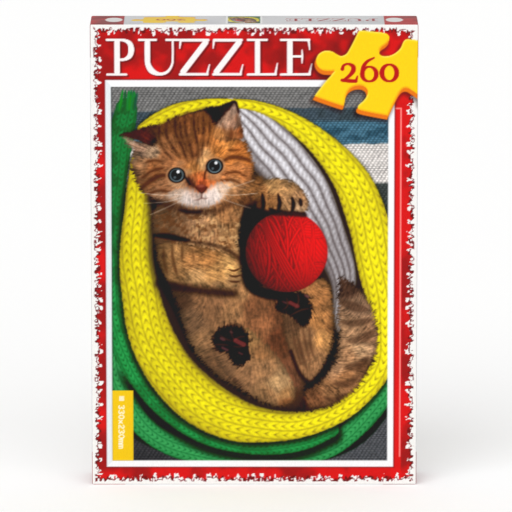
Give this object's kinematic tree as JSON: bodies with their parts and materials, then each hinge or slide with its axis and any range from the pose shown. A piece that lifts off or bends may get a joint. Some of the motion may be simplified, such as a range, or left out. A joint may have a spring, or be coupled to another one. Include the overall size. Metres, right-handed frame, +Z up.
{
  "type": "boxed jigsaw puzzle",
  "caption": "Flat telescoping cardboard box with a pull-off printed lid, holding a clear bag of loose interlocking jigsaw pieces.",
  "frame": {"origin": "centre of the footprint, on the surface that the box stands on", "axes": "+X across the picture to the right as a reader sees it, +Y from the lid's printed face to the tray's base, +Z up along the picture's height"},
  "size_m": [0.195, 0.035, 0.28],
  "materials": {
    "greyboard": "matte",
    "lid_paper": "satin",
    "tray_paper": "satin",
    "stay_tape": "matte",
    "film": "gloss",
    "puzzle_board": "satin"
  },
  "bodies": {
    "tray": {"tray_board": "greyboard", "tray_wrap": "tray_paper", "tray_stay_bottom_left": "stay_tape", "tray_stay_bottom_right": "stay_tape", "tray_stay_top_left": "stay_tape", "tray_stay_top_right": "stay_tape"},
    "lid": {"lid_board": "greyboard", "lid_wrap": "lid_paper", "lid_stay_bottom_left": "stay_tape", "lid_stay_bottom_right": "stay_tape", "lid_stay_top_left": "stay_tape", "lid_stay_top_right": "stay_tape"},
    "bag": {"piece_bag": "film", "puzzle_piece_heap": "puzzle_board", "puzzle_piece_01": "puzzle_board", "puzzle_piece_02": "puzzle_board", "puzzle_piece_03": "puzzle_board", "puzzle_piece_04": "puzzle_board", "puzzle_piece_05": "puzzle_board", "puzzle_piece_06": "puzzle_board", "puzzle_piece_07": "puzzle_board", "puzzle_piece_08": "puzzle_board", "puzzle_piece_09": "puzzle_board", "puzzle_piece_10": "puzzle_board", "puzzle_piece_11": "puzzle_board", "puzzle_piece_12": "puzzle_board", "puzzle_piece_13": "puzzle_board", "puzzle_piece_14": "puzzle_board", "puzzle_piece_15": "puzzle_board", "puzzle_piece_16": "puzzle_board", "puzzle_piece_17": "puzzle_board", "puzzle_piece_18": "puzzle_board", "puzzle_piece_19": "puzzle_board", "puzzle_piece_20": "puzzle_board", "puzzle_piece_21": "puzzle_board", "puzzle_piece_22": "puzzle_board", "puzzle_piece_23": "puzzle_board", "puzzle_piece_24": "puzzle_board", "puzzle_piece_25": "puzzle_board", "puzzle_piece_26": "puzzle_board", "puzzle_piece_27": "puzzle_board", "puzzle_piece_28": "puzzle_board", "puzzle_piece_29": "puzzle_board", "puzzle_piece_30": "puzzle_board", "puzzle_piece_31": "puzzle_board", "puzzle_piece_32": "puzzle_board", "puzzle_piece_33": "puzzle_board", "puzzle_piece_34": "puzzle_board", "puzzle_piece_35": "puzzle_board", "puzzle_piece_36": "puzzle_board", "puzzle_piece_37": "puzzle_board", "puzzle_piece_38": "puzzle_board", "puzzle_piece_39": "puzzle_board", "puzzle_piece_40": "puzzle_board", "puzzle_piece_41": "puzzle_board", "puzzle_piece_42": "puzzle_board", "puzzle_piece_43": "puzzle_board", "puzzle_piece_44": "puzzle_board"}
  },
  "joints": [
    {"name": "lid_pull", "type": "slide", "parent": "tray", "child": "lid", "axis": [0, -1, 0], "range_m": [0, 0.065]},
    {"name": "bag_shift", "type": "slide", "parent": "tray", "child": "bag", "axis": [0, 0, 1], "range_m": [0, 0.12]}
  ]
}
